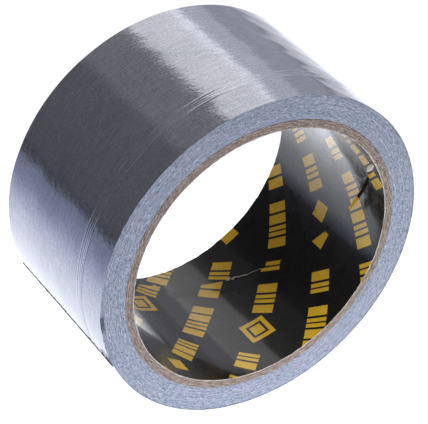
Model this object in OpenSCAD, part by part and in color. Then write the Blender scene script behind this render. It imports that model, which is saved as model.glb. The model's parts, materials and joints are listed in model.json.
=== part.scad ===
// Duct tape roll: cloth tape wound on a paperboard core, with a free end that peels.
// The roll's axis lies along Y, the origin is at the centre of the bore, and +Z is up,
// so the roll stands on its rim. Its front face looks towards -Y.

/* [Roll] */
// Width of the tape and of the core
roll_w = 50; // [24:1:100]
// Inside diameter of the core, a 3 inch bore
bore_d = 76.2; // [50:0.1:80]
// Number of whole turns of tape
turns = 36; // [4:1:60]

/* [Tape] */
// Thickness of the rubber adhesive
adhesive_t = 0.085; // [0.05:0.005:0.15]
// Thickness of the cloth scrim
scrim_t = 0.050; // [0.03:0.005:0.1]
// Thickness of the polyethylene film
film_t = 0.055; // [0.03:0.005:0.1]
// Clearance kept between neighbouring layers
layer_gap = 0.002; // [0.001:0.001:0.005]

/* [Core] */
// Thickness of the printed paper liner
liner_t = 0.10; // [0.08:0.01:0.2]
// Thickness of one ply of core board
ply_t = 0.573; // [0.3:0.001:0.8]

/* [Free end] */
// Angle of the cut end, from +X towards +Z
end_a = 200.5; // [0:0.5:359.5]
// Angle that one link of the free end covers
link_a = 12; // [6:1:20]
// Clearance between one link and the next, along the tape
link_gap = 0.01; // [0.005:0.005:0.05]

/* [Frayed corner] */
// Number of cloth threads that stick out of the cut end
threads = 7; // [3:1:12]
// Diameter of one thread
thread_d = 0.12; // [0.08:0.01:0.15]
// Length of the longest thread
thread_l = 2.6; // [1:0.1:4]
// Distance between the threads across the tape
thread_pitch = 0.75; // [0.4:0.05:1.5]

/* [Hidden] */
$fn = 120;
// Every layer is a few thousandths thinner than its share, which leaves the clearance.
pitch = adhesive_t + scrim_t + film_t + 3 * layer_gap;
core_r = bore_d / 2 + liner_t + 4 * (ply_t + layer_gap);
// The winding is a two-centre spiral: half circles whose centre swaps between the two
// ends of a segment half a pitch long, each radius half a pitch more than the one before.
centre_x = pitch / 4;
first_r = core_r + centre_x + layer_gap;
last_half = 2 * turns - 1;
// Each layer's inner face, above the inner face of its turn
adhesive_z = 0;
scrim_z = adhesive_t + layer_gap;
film_z = scrim_z + scrim_t + layer_gap;
// The free end is divided into four links, so that it can bend as it peels.
links = 4;
// How far along the winding the outer turn ends and the free end begins
peel_a = turns * 360 - links * link_a;
outer_r = half_r(last_half) + film_z + film_t;
link_gap_a = link_gap / outer_r * 180 / PI;
// Radius of the middle of the scrim on the last half turn, where the threads leave
thread_r = half_r(last_half) + scrim_z + scrim_t / 2;
// Distance from the front edge of the tape to the first thread
thread_inset = 0.3;

paper_black = [0.10, 0.10, 0.10];
board_brown = [0.62, 0.54, 0.46];
film_silver = [0.62, 0.64, 0.67];
cloth_white = [0.86, 0.87, 0.88];
rubber_grey = [0.55, 0.60, 0.68];

function half_r(half) = first_r + half * pitch / 2;
function half_centre(half) = half % 2 == 0 ? -centre_x : centre_x;

// Turns a shape built around Z so that its axis lies along Y and its top faces the front.
module lay_on_rim() {
    rotate([90, 0, 0]) children();
}

module tube(inner_r, wall) {
    difference() {
        cylinder(r = inner_r + wall, h = roll_w, center = true);
        cylinder(r = inner_r, h = roll_w + 2, center = true);
    }
}

// A stretch of one layer of the tape. Angles are counted along the winding, from where
// the tape starts on the core, and each pass of the loop is the stretch's share of one
// half circle of the spiral. A share is swept away from the end of the half circle that
// it reaches, so that it meets its neighbour exactly.
module strip(layer_z, layer_t, from_a, to_a) {
    lay_on_rim()
        rotate([0, 0, end_a])
            for (half = [floor(from_a / 180) : ceil(to_a / 180) - 1]) {
                start_a = max(from_a, half * 180);
                stop_a = min(to_a, half * 180 + 180);
                reaches_end = stop_a == half * 180 + 180;
                sweep_a = stop_a - start_a;
                translate([half_centre(half), 0, 0])
                    rotate([0, 0, reaches_end ? stop_a : start_a])
                        rotate_extrude(angle = reaches_end ? -sweep_a : sweep_a)
                            translate([half_r(half) + layer_z, -roll_w / 2])
                                square([layer_t, roll_w]);
            }
}

// One layer of the tape from the core up to the start of the outer turn
module wound_layer(layer_z, layer_t) {
    strip(layer_z, layer_t, 0, peel_a - 360);
}

// One layer of the turn that ends at the line where the free end starts to peel
module outer_turn_layer(layer_z, layer_t) {
    strip(layer_z, layer_t, peel_a - 360 + link_gap_a, peel_a);
}

// One layer of one link of the free end. Link 1 is next to the peel line.
module end_layer(link, layer_z, layer_t) {
    start_a = peel_a + (link - 1) * link_a;
    strip(layer_z, layer_t, start_a + link_gap_a, start_a + link_a);
}

// A ply of the core, counted outwards from the liner.
module core_ply(ply) {
    color(board_brown)
        lay_on_rim()
            tube(bore_d / 2 + liner_t + layer_gap + (ply - 1) * (ply_t + layer_gap), ply_t);
}

module core_liner() {
    color(paper_black) lay_on_rim() tube(bore_d / 2, liner_t);
}

module tape_adhesive() {
    color(rubber_grey) wound_layer(adhesive_z, adhesive_t);
}

module tape_scrim() {
    color(cloth_white) wound_layer(scrim_z, scrim_t);
}

module tape_film() {
    color(film_silver) wound_layer(film_z, film_t);
}

module outer_turn_adhesive() {
    color(rubber_grey) outer_turn_layer(adhesive_z, adhesive_t);
}

module outer_turn_scrim() {
    color(cloth_white) outer_turn_layer(scrim_z, scrim_t);
}

module outer_turn_film() {
    color(film_silver) outer_turn_layer(film_z, film_t);
}

module end_adhesive(link) {
    color(rubber_grey) end_layer(link, adhesive_z, adhesive_t);
}

module end_scrim(link) {
    color(cloth_white) end_layer(link, scrim_z, scrim_t);
}

module end_film(link) {
    color(film_silver) end_layer(link, film_z, film_t);
}

// Cloth threads pulled out of the cut end at its front corner, each of its own length.
// They start just past the end face and run straight on, clear of the turn below.
module end_threads() {
    color(cloth_white)
        lay_on_rim()
            rotate([0, 0, end_a])
                for (i = [0 : threads - 1]) {
                    length = thread_l * (0.45 + 0.55 * abs(cos(i * 67)));
                    translate([
                        centre_x + thread_r,
                        link_gap,
                        roll_w / 2 - thread_inset - i * thread_pitch - thread_d / 2
                    ])
                        rotate([-90, 0, 0])
                            cylinder(d = thread_d, h = length);
                }
}

core_liner();
core_ply(1);  // core_ply_1
core_ply(2);  // core_ply_2
core_ply(3);  // core_ply_3
core_ply(4);  // core_ply_4
tape_adhesive();
tape_scrim();
tape_film();
outer_turn_adhesive();
outer_turn_scrim();
outer_turn_film();
end_adhesive(1);  // end_adhesive_1
end_scrim(1);  // end_scrim_1
end_film(1);  // end_film_1
end_adhesive(2);  // end_adhesive_2
end_scrim(2);  // end_scrim_2
end_film(2);  // end_film_2
end_adhesive(3);  // end_adhesive_3
end_scrim(3);  // end_scrim_3
end_film(3);  // end_film_3
end_adhesive(4);  // end_adhesive_4
end_scrim(4);  // end_scrim_4
end_film(4);  // end_film_4
end_threads();
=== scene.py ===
"""Looks of the duct tape roll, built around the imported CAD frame.

Lengths in this file are millimetres until points() turns them into metres. The roll's
axis is Y. Angles are measured in the XZ plane from +X towards +Z, in radians. The winding
runs outwards as the angle grows, and ends at the cut end, END_A.
"""
import json
import math

import bpy
import numpy as np
from mathutils import Matrix, Vector


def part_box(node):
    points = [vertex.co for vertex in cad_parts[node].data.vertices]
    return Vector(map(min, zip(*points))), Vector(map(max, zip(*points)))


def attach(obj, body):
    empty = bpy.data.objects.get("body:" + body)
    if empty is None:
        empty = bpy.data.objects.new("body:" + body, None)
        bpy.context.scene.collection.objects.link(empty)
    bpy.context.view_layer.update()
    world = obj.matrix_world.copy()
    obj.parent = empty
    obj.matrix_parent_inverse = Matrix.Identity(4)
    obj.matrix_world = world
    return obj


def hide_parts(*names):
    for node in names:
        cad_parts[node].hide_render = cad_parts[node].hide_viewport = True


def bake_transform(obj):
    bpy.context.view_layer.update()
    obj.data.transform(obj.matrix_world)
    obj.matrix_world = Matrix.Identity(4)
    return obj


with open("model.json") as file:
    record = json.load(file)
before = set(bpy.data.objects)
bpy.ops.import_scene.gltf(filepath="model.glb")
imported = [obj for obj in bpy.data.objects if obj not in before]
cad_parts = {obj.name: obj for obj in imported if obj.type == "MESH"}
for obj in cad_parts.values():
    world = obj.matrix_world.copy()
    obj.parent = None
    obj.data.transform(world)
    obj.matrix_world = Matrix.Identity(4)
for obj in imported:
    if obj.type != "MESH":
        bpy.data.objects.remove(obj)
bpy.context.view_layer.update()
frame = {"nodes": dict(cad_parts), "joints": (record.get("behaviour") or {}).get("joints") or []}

MM = 0.001
TAU = 2 * math.pi

# ---------------------------------------------------------------- sizes from the frame


def node_radii(node):
    """Smallest and largest distance of a CAD node from the roll's axis."""
    co = np.array([v.co for v in frame["nodes"][node].data.vertices]) / MM
    r = np.hypot(co[:, 0], co[:, 2])
    return r.min(), r.max()


def hinge_angle(joint):
    return math.atan2(joint["pos_m"][2], joint["pos_m"][0]) % TAU


TURNS = 36
LAYERS = ("adhesive", "scrim", "film")
HINGES = [hinge_angle(j) for j in frame["joints"]]
LINK_A = HINGES[1] - HINGES[0]
PEEL_A = HINGES[0]
END_A = HINGES[-1] + LINK_A
HALF_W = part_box("outer_turn_film")[1].y / MM
SKIN_R = node_radii("end_film_4")[1]
CORE_R = node_radii("core_ply_4")[1]
BORE_R = node_radii("core_liner")[0]
LINER_R = node_radii("core_liner")[1]
PITCH = (SKIN_R - CORE_R) / (TURNS + 1)
# Depth of each layer's faces below the film's outer face
DEPTHS = {}
for layer in LAYERS:
    inner, outer = node_radii(f"end_{layer}_4")
    DEPTHS[layer] = (SKIN_R - outer, SKIN_R - inner)

# ---------------------------------------------------------------- shapes from formulas


def smooth(t):
    t = np.clip(t, 0, 1)
    return t * t * (3 - 2 * t)


class Waves:
    """Smooth noise of about unit height: a sum of plane waves with seeded directions."""

    def __init__(self, seed, around, across, count=28):
        rng = np.random.default_rng(seed)
        size = np.array([around, across, around])
        self.k = rng.normal(size=(count, 3)) * 3.0 / size
        self.phase = rng.uniform(0, TAU, count)

    def __call__(self, a, y, r=None):
        r = SKIN_R if r is None else r
        a, y, r = np.broadcast_arrays(a, y, r)
        p = np.stack([r * np.cos(a), y, r * np.sin(a)], -1)
        return np.sin(p @ self.k.T + self.phase).sum(-1) * math.sqrt(1 / len(self.phase))


sway = Waves(1, 15, 8)
ripple = Waves(2, 1.5, 1.2, count=48)
fade = Waves(4, 30, 8)
drift = Waves(5, 38, 60)
slack = Waves(6, 5, 6, count=32)
# The ridges are deeper from here on, along the free end,
FREE_A = PEEL_A
# and the film is slack about this place, over this many radians.
SLACK_A, SLACK_REACH = math.radians(54), 0.30
# Fine ridges that run round the roll: place across the tape, height and width in mm
RIDGES = ((-15.0, 0.044, 0.17), (-14.3, 0.026, 0.15), (-13.5, 0.020, 0.15), (-12.6, 0.036, 0.17))


def wander(a, y):
    """How far the ridges stray across the tape."""
    return 0.12 * drift(a, 0 * y)


def wrinkles(a, y):
    off = y - wander(a, y)
    deeper = 1 + 1.3 * smooth((a - FREE_A + 0.08) / 0.25)
    total = 0
    for number, (at, height, width) in enumerate(RIDGES):
        strength = 0.9 + 0.25 * fade(a + number, 0 * y)
        total = total + height * strength * deeper * np.exp(-(((off - at) / width) ** 2))
    return total


def relief(a, y):
    """How far the film stands out of its plain spiral."""
    off_a = (a - SLACK_A + math.pi) % TAU - math.pi
    loose = 0.035 * np.exp(-((off_a / SLACK_REACH) ** 4)) * slack(a, y)
    return 0.036 * sway(a, y) + 0.006 * ripple(a, y) + wrinkles(a, y) + loose


def tip_lift(a, y):
    """The last 3 mm of the tape stand a little off the turn below."""
    reach = 0.065
    return 0.05 * smooth((a - (END_A - reach)) / reach) * (1 + 0.5 * ripple(0 * a, y))


def skin_r(a):
    return SKIN_R - PITCH * (END_A - a) / TAU


def polar(a, y, r):
    a, y, r = np.broadcast_arrays(a, y, r)
    return np.stack([r * np.cos(a), y, r * np.sin(a)], -1)


# ---------------------------------------------------------------- meshes


def patch(points, uv, slot=0, flip=False, normals=None):
    """A grid of points with its texture coordinates, one part of a piece's surface."""
    if normals is None:
        normals = 0 * points
    return {"points": points, "uv": uv, "slot": slot, "flip": flip, "normals": normals}


def between(p, q, uv_p, uv_q, slot=0, flip=False):
    """The wall between two rows of points."""
    return patch(np.stack([p, q]), np.stack([uv_p, uv_q]), slot, flip)


def weld(points):
    """Index of the first point at each place, and that first point's own number."""
    weld_mm = 2e-4
    places = np.round(points / weld_mm).astype(np.int64)
    _, first, index = np.unique(places, axis=0, return_index=True, return_inverse=True)
    return first, index.reshape(-1)


def mesh_piece(name, patches, materials, sharp_deg=40):
    """One object from patches, welded where they meet. Corners whose patch gives no
    normal take the one that their face has."""
    quads, slots, start = [], [], 0
    for part in patches:
        rows, cols = part["points"].shape[:2]
        i = start + np.arange(rows - 1)[:, None] * cols + np.arange(cols - 1)[None, :]
        quad = np.stack([i, i + 1, i + cols + 1, i + cols], -1).reshape(-1, 4)
        quads.append(quad[:, ::-1] if part["flip"] else quad)
        slots.append(np.full(len(quad), part["slot"]))
        start += rows * cols
    quads, slots = np.concatenate(quads), np.concatenate(slots)
    points, uvs, normals = (
        np.concatenate([part[key].reshape(-1, part[key].shape[-1]) for part in patches])
        for key in ("points", "uv", "normals")
    )
    first, index = weld(points)
    # A quad with a side of no length is a triangle: its repeated corner is left out.
    repeats = index[quads] == np.roll(index[quads], 1, axis=1)
    whole = ~repeats.any(axis=1)
    pinched = repeats.sum(axis=1) == 1
    triangles = quads[pinched][~repeats[pinched]].reshape(-1, 3)
    corners = np.concatenate([quads[whole].ravel(), triangles.ravel()])
    polygons = index[quads[whole]].tolist() + index[triangles].tolist()
    mesh = bpy.data.meshes.new(name)
    mesh.from_pydata((points[first] * MM).tolist(), [], polygons)
    mesh.uv_layers.new(name="UVMap").data.foreach_set("uv", uvs[corners].ravel())
    for material in materials:
        mesh.materials.append(material)
    mesh.polygons.foreach_set("material_index", np.concatenate([slots[whole], slots[pinched]]))
    mesh.polygons.foreach_set("use_smooth", np.ones(len(polygons), bool))
    mesh.update()
    mesh.set_sharp_from_angle(angle=math.radians(sharp_deg))
    if normals.any():
        mesh.normals_split_custom_set(normals[corners].tolist())
    obj = bpy.data.objects.new(name, mesh)
    bpy.context.scene.collection.objects.link(obj)
    return obj


def slab(outer, inner, uv, slots=(0, 0, 0, 0), closed=False, normals=None):
    """Patches of a solid between two grids of the same shape, rows along Y and columns
    round the roll. slots are the materials of the outer face, the inner face, the two
    sides of the roll and the two ends."""
    parts = [
        patch(outer, uv, slots[0], normals=normals),
        patch(inner, uv, slots[1], flip=True, normals=None if normals is None else -normals),
        between(outer[0], inner[0], uv[0], uv[0], slots[2], flip=True),
        between(outer[-1], inner[-1], uv[-1], uv[-1], slots[2]),
    ]
    if not closed:
        parts.append(between(outer[:, 0], inner[:, 0], uv[:, 0], uv[:, 0], slots[3]))
        parts.append(between(outer[:, -1], inner[:, -1], uv[:, -1], uv[:, -1], slots[3], flip=True))
    return parts


def thread_patch(path, radius, sides=6, slot=0):
    """A thread along a path of points, tapering to a point at both ends."""
    path = np.asarray(path, float)
    along = np.gradient(path, axis=0)
    along /= np.linalg.norm(along, axis=1)[:, None]
    side = np.cross(along, [0.3, 0.2, 0.93])
    side /= np.linalg.norm(side, axis=1)[:, None]
    other = np.cross(along, side)
    turn = np.linspace(0, TAU, sides + 1)
    n = len(path)
    taper = np.minimum(1, np.minimum(np.arange(n), n - 1 - np.arange(n)) * 1.2)
    ring = np.cos(turn)[None, :, None] * side[:, None] + np.sin(turn)[None, :, None] * other[:, None]
    points = path[:, None] + radius * taper[:, None, None] * ring
    uv = np.stack(np.broadcast_arrays(np.arange(n)[:, None] * 1.0, turn[None, :]), -1)
    return patch(points, uv, slot, flip=True)


# ---------------------------------------------------------------- materials


class Shader:
    """A node material, written as expressions: every method returns an output socket."""

    def __init__(self, name):
        self.material = bpy.data.materials.new(name)
        self.material.use_nodes = True
        self.tree = self.material.node_tree
        self.tree.nodes.clear()
        self.out = self.tree.nodes.new("ShaderNodeOutputMaterial")

    def feed(self, socket, value):
        if isinstance(value, bpy.types.NodeSocket):
            self.tree.links.new(value, socket)
        elif isinstance(value, tuple) and len(value) == 3 and socket.type == "RGBA":
            socket.default_value = (*value, 1)
        else:
            socket.default_value = value

    def node(self, kind, inputs=(), **settings):
        node = self.tree.nodes.new(kind)
        for key, value in settings.items():
            setattr(node, key, value)
        for key, value in dict(inputs).items():
            self.feed(node.inputs[key], value)
        return node

    def math(self, operation, *values, clamp=False):
        node = self.node("ShaderNodeMath", operation=operation, use_clamp=clamp)
        for i, value in enumerate(values):
            self.feed(node.inputs[i], value)
        return node.outputs[0]

    def add(self, a, b):
        return self.math("ADD", a, b)

    def sub(self, a, b):
        return self.math("SUBTRACT", a, b)

    def mul(self, a, b):
        return self.math("MULTIPLY", a, b)

    def uv(self):
        """The texture coordinates: millimetres round the roll, and along Y or the radius."""
        split = self.node("ShaderNodeSeparateXYZ", {0: self.node("ShaderNodeUVMap").outputs[0]})
        return split.outputs[0], split.outputs[1]

    def noise(self, u, v, size_u, size_v, detail=2.0, w=0.0):
        place = self.node("ShaderNodeCombineXYZ", {0: self.mul(u, 1 / size_u), 1: self.mul(v, 1 / size_v), 2: w})
        return self.node("ShaderNodeTexNoise", {"Vector": place.outputs[0], "Scale": 1.0, "Detail": detail}).outputs[0]

    def remap(self, value, low, high, to_low=0.0, to_high=1.0):
        return self.node(
            "ShaderNodeMapRange", {0: value, 1: low, 2: high, 3: to_low, 4: to_high}, interpolation_type="SMOOTHSTEP"
        ).outputs[0]

    def mix(self, share, a, b):
        node = self.node("ShaderNodeMix", data_type="RGBA")
        for key, value in ((0, share), (6, a), (7, b)):
            self.feed(node.inputs[key], value)
        return node.outputs[2]

    def bump(self, height_mm, strength=1.0, normal=None):
        inputs = {"Strength": strength, "Distance": MM, "Height": height_mm}
        if normal is not None:
            inputs["Normal"] = normal
        return self.node("ShaderNodeBump", inputs).outputs[0]

    def finish(self, inputs):
        principled = self.node("ShaderNodeBsdfPrincipled", inputs)
        self.tree.links.new(principled.outputs[0], self.out.inputs[0])
        return self.material


def crests(s, v):
    """1 on top of the fine ridges."""
    on_one = 0.0
    for at, _, width in RIDGES:
        off = s.math("ABSOLUTE", s.sub(v, at))
        on_one = s.add(on_one, s.remap(off, width, 0.3 * width))
    return on_one


def film_material():
    """Silver polyethylene film over cloth: satin, with the cloth's ripple showing through and a painted highlight on
    the crests of the fine ridges.
    """
    s = Shader("film_silver")
    u, v = s.uv()
    streak = s.noise(u, v, 5.0, 0.55, detail=2)
    dimple = s.noise(u, v, 1.1, 0.9, detail=2, w=3.0)
    grain = s.noise(u, v, 0.62, 0.42, detail=1, w=7.0)
    weft = s.noise(u, v, 1.3, 14, detail=2, w=11.0)
    height = s.add(s.mul(streak, 0.013), s.mul(dimple, 0.026))
    height = s.add(s.add(height, s.mul(grain, 0.005)), s.mul(weft, 0.004))
    cloud = s.noise(u, v, 24, 14, detail=3, w=20.0)
    tone = s.mix(s.remap(cloud, 0.3, 0.7), (0.36, 0.368, 0.412), (0.405, 0.410, 0.45))
    tone = s.mix(s.mul(s.remap(grain, 0.49, 0.34), 0.42), tone, (0.26, 0.262, 0.30))
    tone = s.mix(s.mul(s.remap(grain, 0.51, 0.66), 0.42), tone, (0.58, 0.59, 0.64))
    tone = s.mix(s.mul(s.remap(weft, 0.50, 0.66), 0.2), tone, (0.50, 0.51, 0.60))
    tone = s.mix(s.mul(s.remap(streak, 0.50, 0.68), 0.45), tone, (0.50, 0.51, 0.60))
    tone = s.mix(s.mul(s.remap(streak, 0.50, 0.32), 0.45), tone, (0.30, 0.31, 0.38))
    # Painted highlight: the crests of the fine ridges are lightened in patches, as if they caught the light.
    crest_highlight = s.mul(crests(s, v), s.remap(s.noise(u, v, 16, 3, detail=1, w=31.0), 0.28, 0.52))
    tone = s.mix(s.mul(crest_highlight, 0.5), tone, (0.64, 0.65, 0.70))
    return s.finish({
        "Base Color": tone,
        "Metallic": 0.78,
        "Roughness": s.remap(grain, 0.3, 0.7, 0.12, 0.18),
        "Coat Weight": 0.4,
        "Coat Roughness": 0.08,
        "Normal": s.bump(height),
    })


def scrim_material():
    """Open cloth, with separate yarns both ways."""
    s = Shader("scrim_cloth")
    u, v = s.uv()
    yarn = s.math("MAXIMUM", s.math("SINE", s.mul(v, TAU / 1.15)), s.math("SINE", s.mul(u, TAU / 1.9)))
    tone = s.mix(s.remap(yarn, 0.2, 0.9), (0.045, 0.045, 0.044), (0.13, 0.13, 0.125))
    fibre = s.noise(u, v, 0.2, 0.2, detail=3)
    height = s.add(s.mul(yarn, 0.05), s.mul(fibre, 0.03))
    return s.finish({"Base Color": tone, "Roughness": 0.85, "Specular IOR Level": 0.15, "Normal": s.bump(height)})


def adhesive_material():
    """Grey rubber adhesive with the cloth pressed into it."""
    s = Shader("adhesive_rubber")
    u, v = s.uv()
    yarn = s.math("MAXIMUM", s.math("SINE", s.mul(v, TAU / 1.15)), s.math("SINE", s.mul(u, TAU / 1.9)))
    blotch = s.noise(u, v, 3.0, 3.0, detail=4)
    grain = s.noise(u, v, 0.4, 0.4, detail=2, w=4.0)
    tone = s.mix(s.remap(blotch, 0.3, 0.7), (0.34, 0.37, 0.42), (0.44, 0.47, 0.52))
    tone = s.mix(s.mul(s.remap(yarn, 0.3, 0.95), 0.35), tone, (0.58, 0.60, 0.63))
    height = s.add(s.mul(yarn, 0.035), s.add(s.mul(blotch, 0.05), s.mul(grain, 0.03)))
    return s.finish({
        "Base Color": tone,
        "Roughness": s.remap(blotch, 0.3, 0.7, 0.32, 0.5),
        "Specular IOR Level": 0.5,
        "Normal": s.bump(height),
    })


def darkening_by_nick(s, u, v):
    """1 where the front side is darkened in and round the nick's dent. v is the radius on the winding's
    sides and the place along Y on the outer sheets' sides."""
    along = s.math("FLOORED_MODULO", u, TAU * SKIN_R)
    along = s.math("ABSOLUTE", s.sub(along, NICK_A * SKIN_R))
    depth = s.sub(SKIN_R - 0.55, v)
    inside = s.math("MAXIMUM", s.remap(s.math("ABSOLUTE", depth), 0.85, 0.25), s.remap(v, 0.0, -1.0))
    return s.mul(s.remap(along, 3.6, 1.4), inside)


def turn_edge_material():
    """The cut side of the winding: fine rings of film, cloth and adhesive, with specks."""
    s = Shader("turn_edges")
    u, v = s.uv()
    ring = s.noise(u, v, 22, 0.26, detail=2)
    dash = s.noise(u, v, 1.7, 0.30, detail=1, w=5.0)
    speck = s.noise(u, v, 0.55, 0.32, detail=1, w=15.0)
    cloud = s.noise(u, v, 7, 2.6, detail=3, w=9.0)
    pale, dark = (0.75, 0.78, 0.86), (0.145, 0.18, 0.26)
    tone = s.mix(s.remap(cloud, 0.30, 0.70), (0.320, 0.405, 0.530), (0.420, 0.440, 0.580))
    tone = s.mix(s.mul(s.remap(ring, 0.50, 0.72), 0.55), tone, pale)
    tone = s.mix(s.mul(s.remap(ring, 0.48, 0.30), 0.50), tone, dark)
    for spots, share in ((dash, 0.75), (speck, 0.55)):
        tone = s.mix(s.mul(s.remap(spots, 0.52, 0.70), share), tone, pale)
        tone = s.mix(s.mul(s.remap(spots, 0.46, 0.30), share), tone, dark)
    # The front side is darkened to near black in and round the nick's dent, broken up by the dashes.
    tone = s.mix(s.mul(darkening_by_nick(s, u, v), s.remap(dash, 0.30, 0.55, 1.0, 0.55)), tone, (0.03, 0.035, 0.055))
    height = s.add(s.mul(dash, 0.10), s.mul(speck, 0.06))
    return s.finish({"Base Color": tone, "Roughness": 0.5, "Specular IOR Level": 0.4, "Normal": s.bump(height)})


def board_material():
    """Raw brown-grey core board, with streaks along its plies."""
    s = Shader("core_board")
    u, v = s.uv()
    streak = s.noise(u, v, 2.4, 0.30, detail=2)
    fibre = s.noise(u, v, 0.55, 0.33, detail=2, w=6.0)
    tone = s.mix(s.remap(streak, 0.35, 0.65), (0.26, 0.19, 0.152), (0.58, 0.475, 0.405))
    tone = s.mix(s.mul(s.remap(fibre, 0.52, 0.70), 0.75), tone, (0.84, 0.74, 0.66))
    tone = s.mix(s.mul(s.remap(fibre, 0.46, 0.30), 0.75), tone, (0.13, 0.098, 0.085))
    return s.finish({
        "Base Color": tone,
        "Roughness": 0.92,
        "Specular IOR Level": 0.2,
        "Normal": s.bump(s.add(s.mul(streak, 0.12), s.mul(fibre, 0.12))),
    })


def paper_material():
    """Raw white paper, at the liner's cut edge and where it is torn."""
    s = Shader("raw_paper")
    u, v = s.uv()
    fibre = s.noise(u, v, 0.5, 0.12, detail=4)
    tone = s.mix(s.remap(fibre, 0.3, 0.7), (0.66, 0.60, 0.53), (0.95, 0.92, 0.88))
    return s.finish({"Base Color": tone, "Roughness": 0.9, "Normal": s.bump(s.mul(fibre, 0.08))})


def thread_material():
    s = Shader("cotton_thread")
    u, v = s.uv()
    twist = s.math("SINE", s.add(s.mul(u, 2.4), s.mul(v, 2.0)))
    tone = s.mix(s.remap(twist, -1, 1), (0.020, 0.020, 0.022), (0.060, 0.060, 0.063))
    return s.finish({"Base Color": tone, "Roughness": 0.8, "Specular IOR Level": 0.1, "Normal": s.bump(s.mul(twist, 0.02))})


PRINT_ROW_GAP = 16.8
PRINT_ROW_START = 61.4
PRINT_PERIOD = 54.0
# Where the first diamond is, along its row
MARK_AT = -37.4
BAR_GAP = 3.55


def liner_material():
    """Black gloss paper with slanted rows of plain yellow marks: groups of bars,
    with a double diamond or a single one between the groups."""
    s = Shader("liner_print")
    u, v = s.uv()
    along = s.mul(s.add(u, v), math.sqrt(0.5))
    across = s.add(s.mul(s.sub(u, v), math.sqrt(0.5)), PRINT_ROW_START)
    row = s.math("ROUND", s.mul(across, 1 / PRINT_ROW_GAP))
    q = s.sub(across, s.mul(row, PRINT_ROW_GAP))
    p = s.add(s.sub(along, MARK_AT - 5), s.mul(row, PRINT_PERIOD / 2))
    p = s.math("FLOORED_MODULO", p, PRINT_PERIOD)

    def near(value, half, soft=0.09):
        """1 where the value is within half of nought."""
        return s.remap(s.math("ABSOLUTE", value), half + soft, half - soft)

    bar = s.math("ROUND", s.mul(s.sub(p, 12.5), 1 / BAR_GAP))
    local = s.sub(s.sub(p, 12.5), s.mul(bar, BAR_GAP))
    kind = s.math("FLOORED_MODULO", s.add(bar, row), 3.0)
    slit = s.mul(s.math("COMPARE", kind, 1.0, 0.5), near(local, 0.24))
    bars = s.mul(s.mul(near(local, 1.42), near(q, 2.95)), s.sub(1.0, slit))
    used = s.mul(s.math("GREATER_THAN", bar, -0.5), s.math("LESS_THAN", bar, 10.5))
    for empty in (3.0, 8.0):
        used = s.mul(used, s.sub(1.0, s.math("COMPARE", bar, empty, 0.5)))
    bars = s.mul(bars, used)
    centre = s.sub(p, 5.0)
    corner = s.add(s.math("ABSOLUTE", centre), s.math("ABSOLUTE", q))
    diamonds = s.math("MAXIMUM", near(s.sub(corner, 4.35), 0.95), near(corner, 2.4))
    lone = near(corner, 3.4)
    odd = s.math("FLOORED_MODULO", row, 2.0)
    ink = s.math("MAXIMUM", bars, s.add(s.mul(diamonds, s.sub(1.0, odd)), s.mul(lone, odd)))
    wear = s.noise(u, v, 0.8, 0.8, detail=4, w=2.0)
    ink = s.mul(ink, s.remap(wear, 0.22, 0.36))
    cloud = s.noise(u, v, 6, 4, detail=3)
    black = s.mix(cloud, (0.0055, 0.0048, 0.0038), (0.0115, 0.0102, 0.0085))
    yellow = s.mix(cloud, (0.78, 0.47, 0.022), (0.93, 0.60, 0.040))
    brush = s.noise(along, across, 0.5, 3.5, detail=2, w=5.0)
    buckle = s.add(s.mul(s.noise(u, v, 3.0, 8.0, detail=2, w=8.0), 0.08), s.mul(wear, 0.008))
    buckle = s.add(buckle, s.mul(brush, 0.007))
    return s.finish({
        "Base Color": s.mix(ink, black, yellow),
        "Roughness": s.remap(cloud, 0.3, 0.7, 0.22, 0.34),
        "Specular IOR Level": 0.22,
        "Coat Weight": 0.78,
        "Coat Roughness": 0.12,
        "Normal": s.bump(buckle),
    })


# ---------------------------------------------------------------- the liner

# The paper's overlap climbs across the liner as a helix through this place
SEAM_A = math.radians(-46.0)
SEAM_Y = 1.6
# and goes this many mm along Y per mm round the bore.
SEAM_SLOPE = -0.51
PAPER_T = 0.09


def seam_a(y):
    """Where the overlap's free edge is round the bore, at a place along Y."""
    return SEAM_A + (y - SEAM_Y) / (SEAM_SLOPE * BORE_R)


def crease(a, y, from_a, from_y, to_a, to_y, height, width):
    """A fold in the liner along a line, highest in its middle."""
    u, start = a * BORE_R, np.array([from_a * BORE_R, from_y])
    end = np.array([to_a * BORE_R, to_y])
    length = np.linalg.norm(end - start)
    d = (end - start) / length
    along = ((u - start[0]) * d[0] + (y - start[1]) * d[1]) / length
    off = -(u - start[0]) * d[1] + (y - start[1]) * d[0]
    envelope = np.clip(4 * along * (1 - along), 0, 1) ** 0.7
    return height * envelope * np.exp(-((off / width) ** 2))


# Folds by the tear: from and to (degrees round, mm along Y), height and width in mm
FOLDS = (
    (16, -21.5, -2, -12.5, -0.06, 0.40),
    (9, -21.0, -3, -13.5, 0.05, 0.28),
    (18, -23.5, 6, -15.0, 0.06, 0.35),
    (24, -24.0, 10, -13.0, -0.05, 0.35),
)
# The crumpled patch by the tear
CRUMPLE_A, CRUMPLE_Y = math.radians(6), -17.5


def liner_r(a, y):
    """The radius of the liner's face, without its overlap."""
    folds = sum(
        crease(a, y, math.radians(from_a), from_y, math.radians(to_a), to_y, height, width)
        for from_a, from_y, to_a, to_y, height, width in FOLDS
    )
    waves = 0.028 * paper_wave(a, y, BORE_R) + 0.02 * drift(a, y, BORE_R)
    off_a = ((a - CRUMPLE_A + math.pi) % TAU - math.pi) * BORE_R
    patch_here = np.exp(-((off_a / 6.5) ** 4) - ((y - CRUMPLE_Y) / 6.0) ** 4)
    return BORE_R - folds + waves + 0.020 * patch_here * crumple(a, y, BORE_R)


paper_wave = Waves(12, 7, 16, count=32)
crumple = Waves(14, 2.4, 2.0, count=40)

# ---------------------------------------------------------------- the pieces


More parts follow.
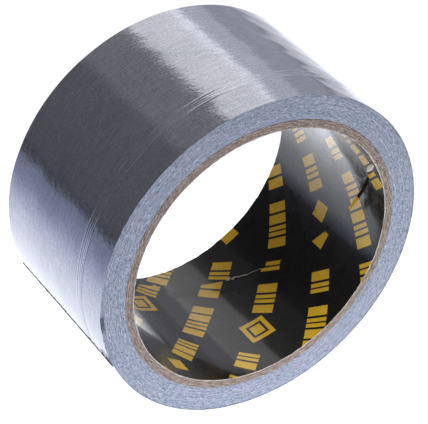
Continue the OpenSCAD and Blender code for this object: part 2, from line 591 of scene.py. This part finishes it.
def y_rows():
    """Rows across the tape, closer together at the wrinkles."""
    coarse = np.linspace(-HALF_W, HALF_W, 93)
    fine = np.linspace(RIDGES[0][0] - 0.6, RIDGES[-1][0] + 0.6, 48)
    return np.unique(np.round(np.concatenate([coarse, fine]), 4))


class Strip:
    """The outer turn and the free end as one grid, with rows along Y and columns round
    the roll. Its pieces are stretches of it, so they meet without a line."""

    per_link = 10

    def __init__(self):
        self.column_a = LINK_A / self.per_link
        self.turn = round(TAU / self.column_a)
        # one column beyond each end, for the slopes there
        columns = np.arange(-1, self.turn + self.per_link * len(HINGES) + 2)
        a = PEEL_A - TAU + self.column_a * columns[None, :]
        self.y = y_rows()[:, None] + 0 * a
        past_last_hinge = np.clip((a - HINGES[-1]) / LINK_A, 0, 1)
        ragged = 0.0042 * cut_edge(0, self.y) + 0.0016 * np.sin(self.y * TAU / 1.15)
        self.a = a + ragged * past_last_hinge**6
        self.film_a = self.a - FILM_SHORT / SKIN_R * past_last_hinge**4
        by_nick = np.exp(-(((self.a - NICK_A) * SKIN_R / 2.3) ** 4))
        self.y = self.y + 0.35 * by_nick * smooth((-self.y - (HALF_W - 1.0)) / 1.0)
        self.relief = relief(self.a, self.y) + tip_lift(self.a, self.y)
        points = self.points(self.a, 0)
        normals = np.cross(np.gradient(points, axis=0), np.gradient(points, axis=1))
        self.normals = normals / np.linalg.norm(normals, axis=-1)[..., None]

    def points(self, a, depth):
        return polar(a, self.y, skin_r(a) - depth + self.relief)

    def piece(self, name, layer, first, last, materials):
        """A stretch of one layer as a closed sheet, between two columns."""
        part = slice(first + 1, last + 2)
        a = self.film_a if layer == "film" else self.a
        outer, inner = (self.points(a, depth)[:, part] for depth in DEPTHS[layer])
        # The texture strays with the ridges, so that the highlight painted on their crests stays on them.
        uv = np.stack([a * SKIN_R, self.y - wander(self.a, self.y)], -1)[:, part]
        normals = -self.normals[:, part]
        return mesh_piece(name, slab(outer, inner, uv, slots=(0, 0, 1, 2), normals=normals), materials)


cut_edge = Waves(9, 20, 1.6, count=32)
# The film ends this far short of the cloth at the cut end
FILM_SHORT = 1.3


def nick(a, r):
    """How much of the dent in the front edge is at a place: 1 in its middle."""
    off_a = (a - NICK_A) * SKIN_R
    off_r = SKIN_R - 0.35 - 0.05 * off_a - r
    return np.exp(-((off_a / 2.3) ** 4) - (off_r / 0.40) ** 2)


NICK_A = math.radians(182.4)


def turns_piece(materials):
    """The winding below the outer turn. Its sides show the edge of every turn."""
    per_turn = 2
    a = np.linspace(PEEL_A - TAU, PEEL_A, 721)[None, :]
    j = np.arange((TURNS - 1) * per_turn + 1)[:, None]
    r = skin_r(a) - PITCH * (1 + j / per_turn)
    parts = []
    for side, seed in ((-1, 21), (1, 22)):
        wobble = Waves(seed, 14, 14, count=24)
        speck = Waves(seed + 10, 0.7, 0.6, count=48)
        step = np.random.default_rng(seed).normal(size=TURNS + 3)
        winding = (END_A - a) / TAU + j / per_turn
        step_now = np.interp(winding, np.arange(TURNS + 3), step)
        groove = np.where(j % per_turn == 0, -0.03, 0.0)
        # the speckle reads across the face, so the radius stands in for Y
        proud = 0.018 * step_now + 0.018 * wobble(a, r) + 0.022 * speck(a, r) + groove
        crown = -0.10 * smooth(1 - (r - CORE_R) / 1.2) - 0.05 * smooth(1 - (skin_r(a) - PITCH - r) / 0.8)
        dent = 0.45 * nick(a % TAU, r) if side < 0 else 0
        y = side * (HALF_W - 0.05 + np.minimum(proud, 0.06) + crown - dent)
        uv = np.stack([a * SKIN_R + 0 * r, r], -1)
        parts.append(patch(polar(a, y, r), uv, 0, flip=side > 0))
    front, back = parts
    for row, flip in ((0, False), (-1, True)):
        parts.append(
            between(front["points"][row], back["points"][row], front["uv"][row], back["uv"][row], 0, flip=not flip)
        )
    return mesh_piece("wound_turns", parts, materials, sharp_deg=60)


def ply_piece(number, materials):
    """One ply of the core, with rough cut ends."""
    r0, r1 = node_radii(f"core_ply_{number}")
    a = np.linspace(0, TAU, 541)[None, :]
    r = np.linspace(r0, r1, 5)[:, None]
    round_off = 0.05 * (np.abs(r - (r0 + r1) / 2) / ((r1 - r0) / 2)) ** 4
    parts = []
    for side in (-1, 1):
        rough = Waves(40 + 2 * number + side, 1.1, 0.6, count=48)
        lean = Waves(60 + number, 20, 20)
        y = side * (HALF_W - 0.08 - round_off + 0.055 * rough(a, r) + 0.03 * lean(a, r))
        uv = np.stack([a * r, r + 0 * a], -1)
        parts.append(patch(polar(a, y, r), uv, 0, flip=side < 0))
    front, back = parts
    for row, flip in ((0, True), (-1, False)):
        parts.append(between(front["points"][row], back["points"][row], front["uv"][row], back["uv"][row], 0, flip=flip))
    return mesh_piece(f"board_ply_{number}", parts, materials)


def liner_piece(materials):
    """The printed paper inside the core. Its columns run along the overlap, so that the
    paper's free edge is one clean step."""
    y = np.unique(np.concatenate([np.linspace(-HALF_W, HALF_W, 121), np.linspace(-HALF_W, -7, 90)]))[:, None]
    past_seam = np.linspace(0, TAU, 481)[None, :]
    rim = (np.abs(y) / HALF_W) ** 20
    a = seam_a(y) + past_seam
    yy = y + rim * (0.09 * edge_wave(a, 0 * y, BORE_R) - 0.06 * np.sign(y))
    # The last few mm of the winding lie on its own beginning.
    lap_mm = (past_seam - TAU) * BORE_R * abs(SEAM_SLOPE)
    lap = PAPER_T * smooth((lap_mm + 6.0) / 4.0)
    # and by the tear their edge has come up.
    lap = lap + 0.26 * smooth((y + 22.5) / 3.0) * smooth((-8.5 - y) / 4.0) * smooth((lap_mm + 0.9) / 0.9)
    inner = polar(a, yy, liner_r(a, yy) - lap)
    # its cut edge is frayed a little wider than the paper is thick
    outer = polar(a, yy, LINER_R + 0.16 * rim + 0 * a)
    uv = np.stack([a * BORE_R, yy], -1)
    parts = slab(outer, inner, uv, slots=(1, 0, 1, 1), closed=True)
    parts.append(between(inner[:, -1], inner[:, 0], uv[:, -1], uv[:, 0], 0))
    return mesh_piece("liner_paper", parts, materials)


edge_wave = Waves(13, 1.3, 40, count=48)


def fibre_piece(name, count, seed, r_low, r_high, materials):
    """Loose paper fibres standing out of the core's cut edges."""
    rng = np.random.default_rng(seed)
    parts = []
    for _ in range(count):
        side = rng.choice([-1, 1])
        a, r = rng.uniform(0, TAU), rng.uniform(r_low, r_high)
        length = rng.uniform(0.25, 0.9)
        lean = rng.normal(size=2)
        lean /= np.linalg.norm(lean)
        curl = rng.normal(size=2) * 0.25
        path = []
        for t in np.linspace(0, 1, 5):
            out = side * (HALF_W - 0.12 + 0.30 * t * length)
            ra = r + length * (lean[0] * t + curl[0] * t * t) * 0.5
            aa = a + length * (lean[1] * t + curl[1] * t * t) / r
            path.append([ra * math.cos(aa), out, ra * math.sin(aa)])
        parts.append(thread_patch(path, rng.uniform(0.022, 0.045), sides=4))
    return mesh_piece(name, parts, materials)


loose_yarn = Waves(33, 30, 1.3, count=32)
# Loose yarns at the front corner: length along Y, distance back from the cut at their
# start and end, sideways bow and lift, all in mm
LONG_THREADS = (
    (5.2, 0.2, 0.4, 2.6, 0.10),
    (4.3, 0.4, 3.4, 0.2, 0.20),
    (2.6, 2.6, 0.3, -0.3, 0.15),
    (1.6, 0.5, 1.8, 0.4, 0.30),
)


def frayed_threads(materials):
    """Yarns of the scrim pulled out of the cut end: stubs all along it, and a few long
    ones that curl back over the front corner."""
    rng = np.random.default_rng(31)
    parts = []
    for y in np.arange(-HALF_W + 0.4, HALF_W - 0.3, 1.15):
        length = rng.uniform(0.3, 0.9)
        t = np.linspace(-0.4, 1, 7)
        r = skin_r(END_A) - 0.07 + 0.05 * t + 0 * y
        parts.append(thread_patch(polar(END_A + length * t / SKIN_R, y + 0.1 * rng.normal() * t, r), 0.08))
    # the last yarn across the tape, come loose along the cut
    y = np.linspace(-HALF_W + 0.1, HALF_W - 0.2, 160)
    a = END_A + (0.05 + 0.16 * loose_yarn(0, y)) / SKIN_R
    r = skin_r(END_A) + 0.06 + 0.05 * loose_yarn(0.4, y)
    parts.append(thread_patch(polar(a, y, r), 0.085))
    for run, start_back, end_back, bow, lift in LONG_THREADS:
        t = np.linspace(0, 1, 21)
        back = start_back + (end_back - start_back) * t + bow * np.sin(np.pi * t) + 0.12 * np.sin(9 * t)
        y = -HALF_W - 0.15 + run * t
        r = skin_r(END_A) + 0.10 + lift * np.sin(np.pi * t) + 0.05 * np.sin(13 * t)
        parts.append(thread_patch(polar(END_A - back / SKIN_R, y, r), 0.075))
    return mesh_piece("frayed_threads", parts, materials)


# The leaf's root round the rim, its length, and its directions in the roll's frame
LEAF_A = math.radians(26.0)
LEAF_LENGTH = 2.7
LEAF_ALONG = np.array([-0.848, -0.220, -0.483])
LEAF_ACROSS = np.array([0.397, -0.864, -0.305])


def tear_flap(materials):
    """A leaf of the liner torn up at the front edge, its white underside showing."""
    t = np.linspace(0, 1, 15)[None, :, None]
    w = np.linspace(-1, 1, 9)[:, None, None]
    half = 0.75 * np.sin(np.pi * np.clip(t * 0.86 + 0.10, 0, 1)) ** 0.8
    root = polar(LEAF_A, -HALF_W + 0.7, BORE_R - 0.15)
    curl = np.cross(LEAF_ALONG, LEAF_ACROSS)
    points = root + LEAF_LENGTH * t * LEAF_ALONG + w * half * LEAF_ACROSS
    points = points + (0.25 * np.sin(np.pi * t) - 0.2 * w * w * half) * curl
    uv = np.concatenate([LEAF_LENGTH * t + 0 * w, w * half], -1)
    parts = slab(points + 0.08 * curl, points, uv, slots=(0, 0, 0, 0))
    return mesh_piece("liner_tear", parts, materials)


def scuff_flakes(materials):
    """Small flakes and a curl of white paper scuffed up along the overlap's edge."""
    rng = np.random.default_rng(17)
    parts = []
    for _ in range(7):
        y = 10.1 + rng.normal() * 0.6
        size = rng.uniform(0.25, 0.6)
        t = np.linspace(-1, 1, 5)
        across = t[:, None] * np.sqrt(np.clip(1.1 - t[None, :] ** 2, 0, 1))
        a = seam_a(y) + (size * (t[None, :] + 0.3 * t[:, None]) + rng.normal() * 0.25) / BORE_R
        yy = y + size * 0.55 * across + 0 * a
        r = BORE_R - 0.16 - 0.08 * t[None, :] - 0.06 * rng.normal() * t[:, None] + 0 * a
        uv = np.stack([a * BORE_R, yy], -1)
        parts += slab(polar(a, yy, r + 0.05), polar(a, yy, r), uv)
    for start, end, radius in ((10.0, 7.9, 0.17), (8.2, 5.9, 0.06)):
        y = np.linspace(start, end, 25)
        a = seam_a(y) + 0.25 * np.sin(2.1 * y) / BORE_R
        parts.append(thread_patch(polar(a, y, BORE_R - 0.24 + 0.05 * np.sin(5 * y)), radius))
    return mesh_piece("liner_scuff", parts, materials)


def front_specks(materials):
    """A few dark specks stuck to the front side of the winding."""
    rng = np.random.default_rng(23)
    parts = []
    for degrees, r, size in ((19.5, 46.75, 0.20), (203.5, 45.6, 0.16), (-38, 44.2, 0.10), (96, 45.9, 0.10)):
        t = np.linspace(-1, 1, 7)
        a = math.radians(degrees) + size * t / r
        rr = r + 0.5 * size * np.sin(3 * t) + rng.normal() * 0.1
        parts.append(thread_patch(polar(a, -HALF_W + 0.02 + 0 * t, rr), size * 0.6))
    return mesh_piece("front_specks", parts, materials)


def build():
    film, scrim, adhesive = film_material(), scrim_material(), adhesive_material()
    edges, board, paper = turn_edge_material(), board_material(), paper_material()
    printed, cotton = liner_material(), thread_material()
    layer_material = {"film": film, "scrim": scrim, "adhesive": adhesive}

    def add(obj, slot, *nodes, body="roll"):
        if body:
            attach(obj, body)
        if nodes:
            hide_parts(*nodes)
        return obj

    add(turns_piece([edges]), "adhesive", "tape_adhesive", "tape_scrim", "tape_film")
    for number in range(1, 5):
        add(ply_piece(number, [board]), "core_board", f"core_ply_{number}")
    add(liner_piece([printed, paper]), "printed_liner", "core_liner")
    add(tear_flap([paper]), "printed_liner")
    add(scuff_flakes([paper]), "printed_liner")
    add(fibre_piece("core_fuzz_inner", 520, 71, LINER_R - 0.02, LINER_R + 0.35, [paper]), "core_board")
    add(fibre_piece("core_fuzz_face", 420, 72, LINER_R + 0.2, CORE_R - 0.05, [board]), "core_board")
    add(front_specks([cotton]), "adhesive")
    strip = Strip()
    for layer in LAYERS:
        outer = strip.piece(f"outer_{layer}", layer, 0, strip.turn, [layer_material[layer], edges, edges])
        add(outer, layer, f"outer_turn_{layer}")
        for link, start in enumerate(HINGES, 1):
            first = strip.turn + strip.per_link * (link - 1)
            sheet = strip.piece(f"free_{layer}_{link}", layer, first, first + strip.per_link, [layer_material[layer], edges, scrim])
            add(sheet, layer, f"end_{layer}_{link}", body=None)
            start_at, end_at = (
                Vector(polar(np.array(x), np.array(0.0), np.array(SKIN_R)) * MM) for x in (start, start + LINK_A)
            )
            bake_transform(sheet)
    add(frayed_threads([cotton]), "scrim", "end_threads", body="free_end_4")


# ---------------------------------------------------------------- studio

CAMERA_AZIMUTH = math.radians(-31.28)
CAMERA_ELEVATION = math.radians(36.71)
CAMERA_DISTANCE = 568.0
CAMERA_LENS = 179.9
# The roll sits this far left of the frame's middle, and this far above it.
CAMERA_ASIDE = 0.38
CAMERA_BELOW = 0.98


def view_axes():
    """Unit vectors from the roll towards the camera, to the camera's right and up."""
    back = Vector((
        math.sin(CAMERA_AZIMUTH) * math.cos(CAMERA_ELEVATION),
        -math.cos(CAMERA_AZIMUTH) * math.cos(CAMERA_ELEVATION),
        math.sin(CAMERA_ELEVATION),
    ))
    right = Vector((0, 0, 1)).cross(back).normalized()
    return back, right, back.cross(right)


def add_camera():
    back, right, up = view_axes()
    camera = bpy.data.objects.new("camera", bpy.data.cameras.new("camera"))
    bpy.context.scene.collection.objects.link(camera)
    camera.data.lens = CAMERA_LENS
    camera.data.sensor_width = 36
    camera.data.clip_start = 0.01
    camera.location = (back * CAMERA_DISTANCE + right * CAMERA_ASIDE - up * CAMERA_BELOW) * MM
    camera.rotation_euler = back.to_track_quat("Z", "Y").to_euler()
    bpy.context.scene.camera = camera


# How far a card stands from the roll, in metres
CARD_REACH = 1.3


def card(name, turn_deg, width_deg, length, radiance, lean=0.685, colour=(1, 1, 1)):
    """A soft light that the film mirrors as a straight band. turn_deg is its direction
    round the roll's axis, from +X towards +Z, and lean is how far it is along +Y."""
    turn = math.radians(turn_deg)
    out = math.sqrt(1 - lean * lean)
    towards = Vector((out * math.cos(turn), lean, out * math.sin(turn)))
    across = Vector((-math.sin(turn), 0, math.cos(turn)))
    rows = (across, towards.cross(across), towards)
    light = bpy.data.lights.new(name, "AREA")
    light.shape = "RECTANGLE"
    light.size = 2 * CARD_REACH * out * math.tan(math.radians(width_deg) / 2)
    light.size_y = length
    light.energy = math.pi * radiance * light.size * length
    light.color = colour
    obj = bpy.data.objects.new(name, light)
    bpy.context.scene.collection.objects.link(obj)
    obj.matrix_world = Matrix.Translation(towards * CARD_REACH) @ Matrix(rows).transposed().to_4x4()
    obj.visible_camera = False


def floor_material():
    """Pale ground. To the camera it is even and fades into the pale surroundings. In
    what the roll mirrors it is brightest beside the roll and ends on the left."""
    s = Shader("floor_pale")
    place = s.node("ShaderNodeSeparateXYZ", {0: s.node("ShaderNodeNewGeometry").outputs["Position"]})
    x, y = place.outputs[0], place.outputs[1]
    seen = s.node("ShaderNodeLightPath").outputs["Is Camera Ray"]
    left = s.remap(x, -0.03, -0.205)
    front = s.remap(y, -0.03, -0.30)
    mirrored = s.mix(left, (0.87, 0.895, 0.96), (0.45, 0.505, 0.72))
    mirrored = s.mix(s.mul(front, 0.4), mirrored, (0.30, 0.32, 0.36))
    mirrored = s.mix(s.remap(x, -0.42, -0.56), mirrored, (0.05, 0.05, 0.055))
    grain = s.node("ShaderNodeTexNoise", {"Scale": 40.0}).outputs[0]
    plain = s.mix(grain, (0.95, 0.95, 0.955), (0.97, 0.97, 0.975))
    away = s.math("SQRT", s.add(s.mul(x, x), s.mul(y, y)))
    tone = s.mix(seen, mirrored, plain)
    ground = s.node("ShaderNodeBsdfDiffuse", {"Color": tone})
    strength = s.mul(s.remap(x, -0.28, -0.02, 0.05), s.remap(y, -0.30, -0.02, 0.05))
    strength = s.mul(strength, s.remap(away, 0.42, 0.05, 0.05 * GLOW, GLOW))
    strength = s.mul(strength, s.remap(x, 0.0, 0.10, 1.0, 0.92))
    strength = s.add(strength, s.mul(s.mul(s.remap(x, -0.03, 0.02), s.remap(x, 0.12, 0.07)), s.mul(s.remap(y, 0.025, 0.05), s.mul(s.remap(y, 0.16, 0.10), s.mul(s.sub(1.0, seen), HOT_SPOT)))))
    glow = s.node("ShaderNodeEmission", {"Color": tone, "Strength": strength})
    lit = s.node("ShaderNodeAddShader", {0: ground.outputs[0], 1: glow.outputs[0]})
    haze = s.node("ShaderNodeEmission", {"Color": PALE, "Strength": 1.0})
    share = s.mul(seen, s.remap(away, 0.02, 0.12, 0.0, 0.92))
    both = s.node("ShaderNodeMixShader", {0: share, 1: lit.outputs[0], 2: haze.outputs[0]})
    s.tree.links.new(both.outputs[0], s.out.inputs[0])
    return s.material


PALE = (0.985, 0.985, 0.99)
# Light that the ground gives off beside the roll, like a lit table
GLOW = 1.04
# and the patch just behind it that the liner mirrors
HOT_SPOT = 1.25


def add_floor():
    floor_z = -SKIN_R * MM
    half = 4.0
    corners = [(-half, -half, floor_z), (half, -half, floor_z), (half, half, floor_z), (-half, half, floor_z)]
    mesh = bpy.data.meshes.new("floor")
    mesh.from_pydata(corners, [], [(0, 1, 2, 3)])
    mesh.materials.append(floor_material())
    obj = bpy.data.objects.new("floor", mesh)
    bpy.context.scene.collection.objects.link(obj)


def add_world():
    """Pale surroundings for the camera, and a dim room for what the roll mirrors."""
    world = bpy.data.worlds.new("studio")
    world.use_nodes = True
    tree = world.node_tree
    background = tree.nodes["Background"]
    seen = tree.nodes.new("ShaderNodeLightPath").outputs["Is Camera Ray"]
    colour = tree.nodes.new("ShaderNodeMix")
    colour.data_type = "RGBA"
    colour.inputs[6].default_value = (*ROOM, 1)
    colour.inputs[7].default_value = (*PALE, 1)
    tree.links.new(seen, colour.inputs[0])
    tree.links.new(colour.outputs[2], background.inputs[0])
    bpy.context.scene.world = world
    bpy.context.scene.view_settings.view_transform = "Standard"


ROOM = (0.068, 0.067, 0.080)


def add_studio():
    add_camera()
    add_floor()
    add_world()
    card("back_softbox", 60.8, 33.5, 1.0, 1.23)
    card("right_wall", 23, 42, 1.3, 0.44, colour=(0.84, 0.86, 1.0))
    card("right_wall_top", 37, 22, 1.3, 0.36, colour=(0.9, 0.92, 1.0))
    card("softbox_spill", 96, 34, 1.2, 0.12)
    card("overhead_softbox", 82, 60, 0.9, 1.3, lean=-0.42)
    card("overhead_spill", 96, 112, 1.2, 1.15, lean=-0.16)


build()
add_studio()
def plain(bounds):
    return [list(corner) for corner in bounds]
